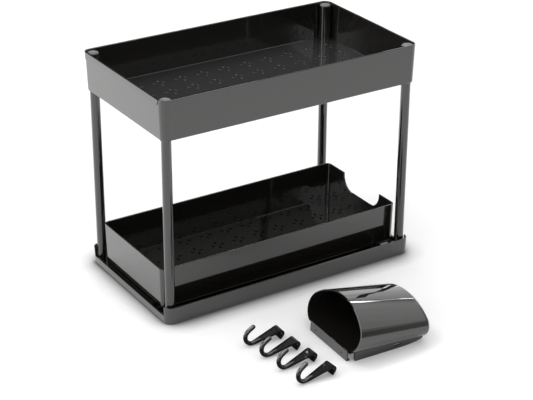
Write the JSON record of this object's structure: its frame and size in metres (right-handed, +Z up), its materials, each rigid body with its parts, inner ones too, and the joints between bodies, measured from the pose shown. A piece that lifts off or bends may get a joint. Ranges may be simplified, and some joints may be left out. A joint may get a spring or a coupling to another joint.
{
  "type": "under sink organizer",
  "caption": "Two-tier black plastic storage rack on round posts: an upper tray, a base with a pull-out scooped drawer, a lift-off hanging cup and clip-on hooks laid beside it.",
  "frame": {"origin": "centre of the base's flat underside", "axes": "+X along the long side, the way the drawer slides out; +Y towards the back; +Z up"},
  "size_m": [0.4012, 0.4393, 0.3207],
  "materials": {
    "black_moulding": "gloss",
    "post_plastic": "gloss",
    "hook_plastic": "gloss",
    "cap_plastic": "satin",
    "pad_rubber": "matte"
  },
  "bodies": {
    "root": {"base": "black_moulding", "foot_pad_1": "pad_rubber", "foot_pad_2": "pad_rubber", "foot_pad_3": "pad_rubber", "foot_pad_4": "pad_rubber", "post_1": "post_plastic", "post_2": "post_plastic", "post_3": "post_plastic", "post_4": "post_plastic", "upper_tray": "black_moulding", "post_cap_1": "cap_plastic", "post_cap_2": "cap_plastic", "post_cap_3": "cap_plastic", "post_cap_4": "cap_plastic"},
    "drawer": {"drawer": "black_moulding"},
    "cup": {"hanging_cup": "black_moulding"},
    "hook_1": {"hook_1": "hook_plastic"},
    "hook_2": {"hook_2": "hook_plastic"},
    "hook_3": {"hook_3": "hook_plastic"},
    "hook_4": {"hook_4": "hook_plastic"}
  },
  "joints": [
    {"name": "drawer_slide", "type": "slide", "parent": "root", "child": "drawer", "axis": [1, 0, 0], "range_m": [0, 0.25]},
    {"name": "cup_lift", "type": "slide", "parent": "root", "child": "cup", "axis": [0, 0, 1], "range_m": [0, 0.1]},
    {"name": "hook_1_lift", "type": "slide", "parent": "root", "child": "hook_1", "axis": [0, 0, 1], "range_m": [0, 0.05]},
    {"name": "hook_2_lift", "type": "slide", "parent": "root", "child": "hook_2", "axis": [0, 0, 1], "range_m": [0, 0.05]},
    {"name": "hook_3_lift", "type": "slide", "parent": "root", "child": "hook_3", "axis": [0, 0, 1], "range_m": [0, 0.05]},
    {"name": "hook_4_lift", "type": "slide", "parent": "root", "child": "hook_4", "axis": [0, 0, 1], "range_m": [0, 0.05]}
  ]
}
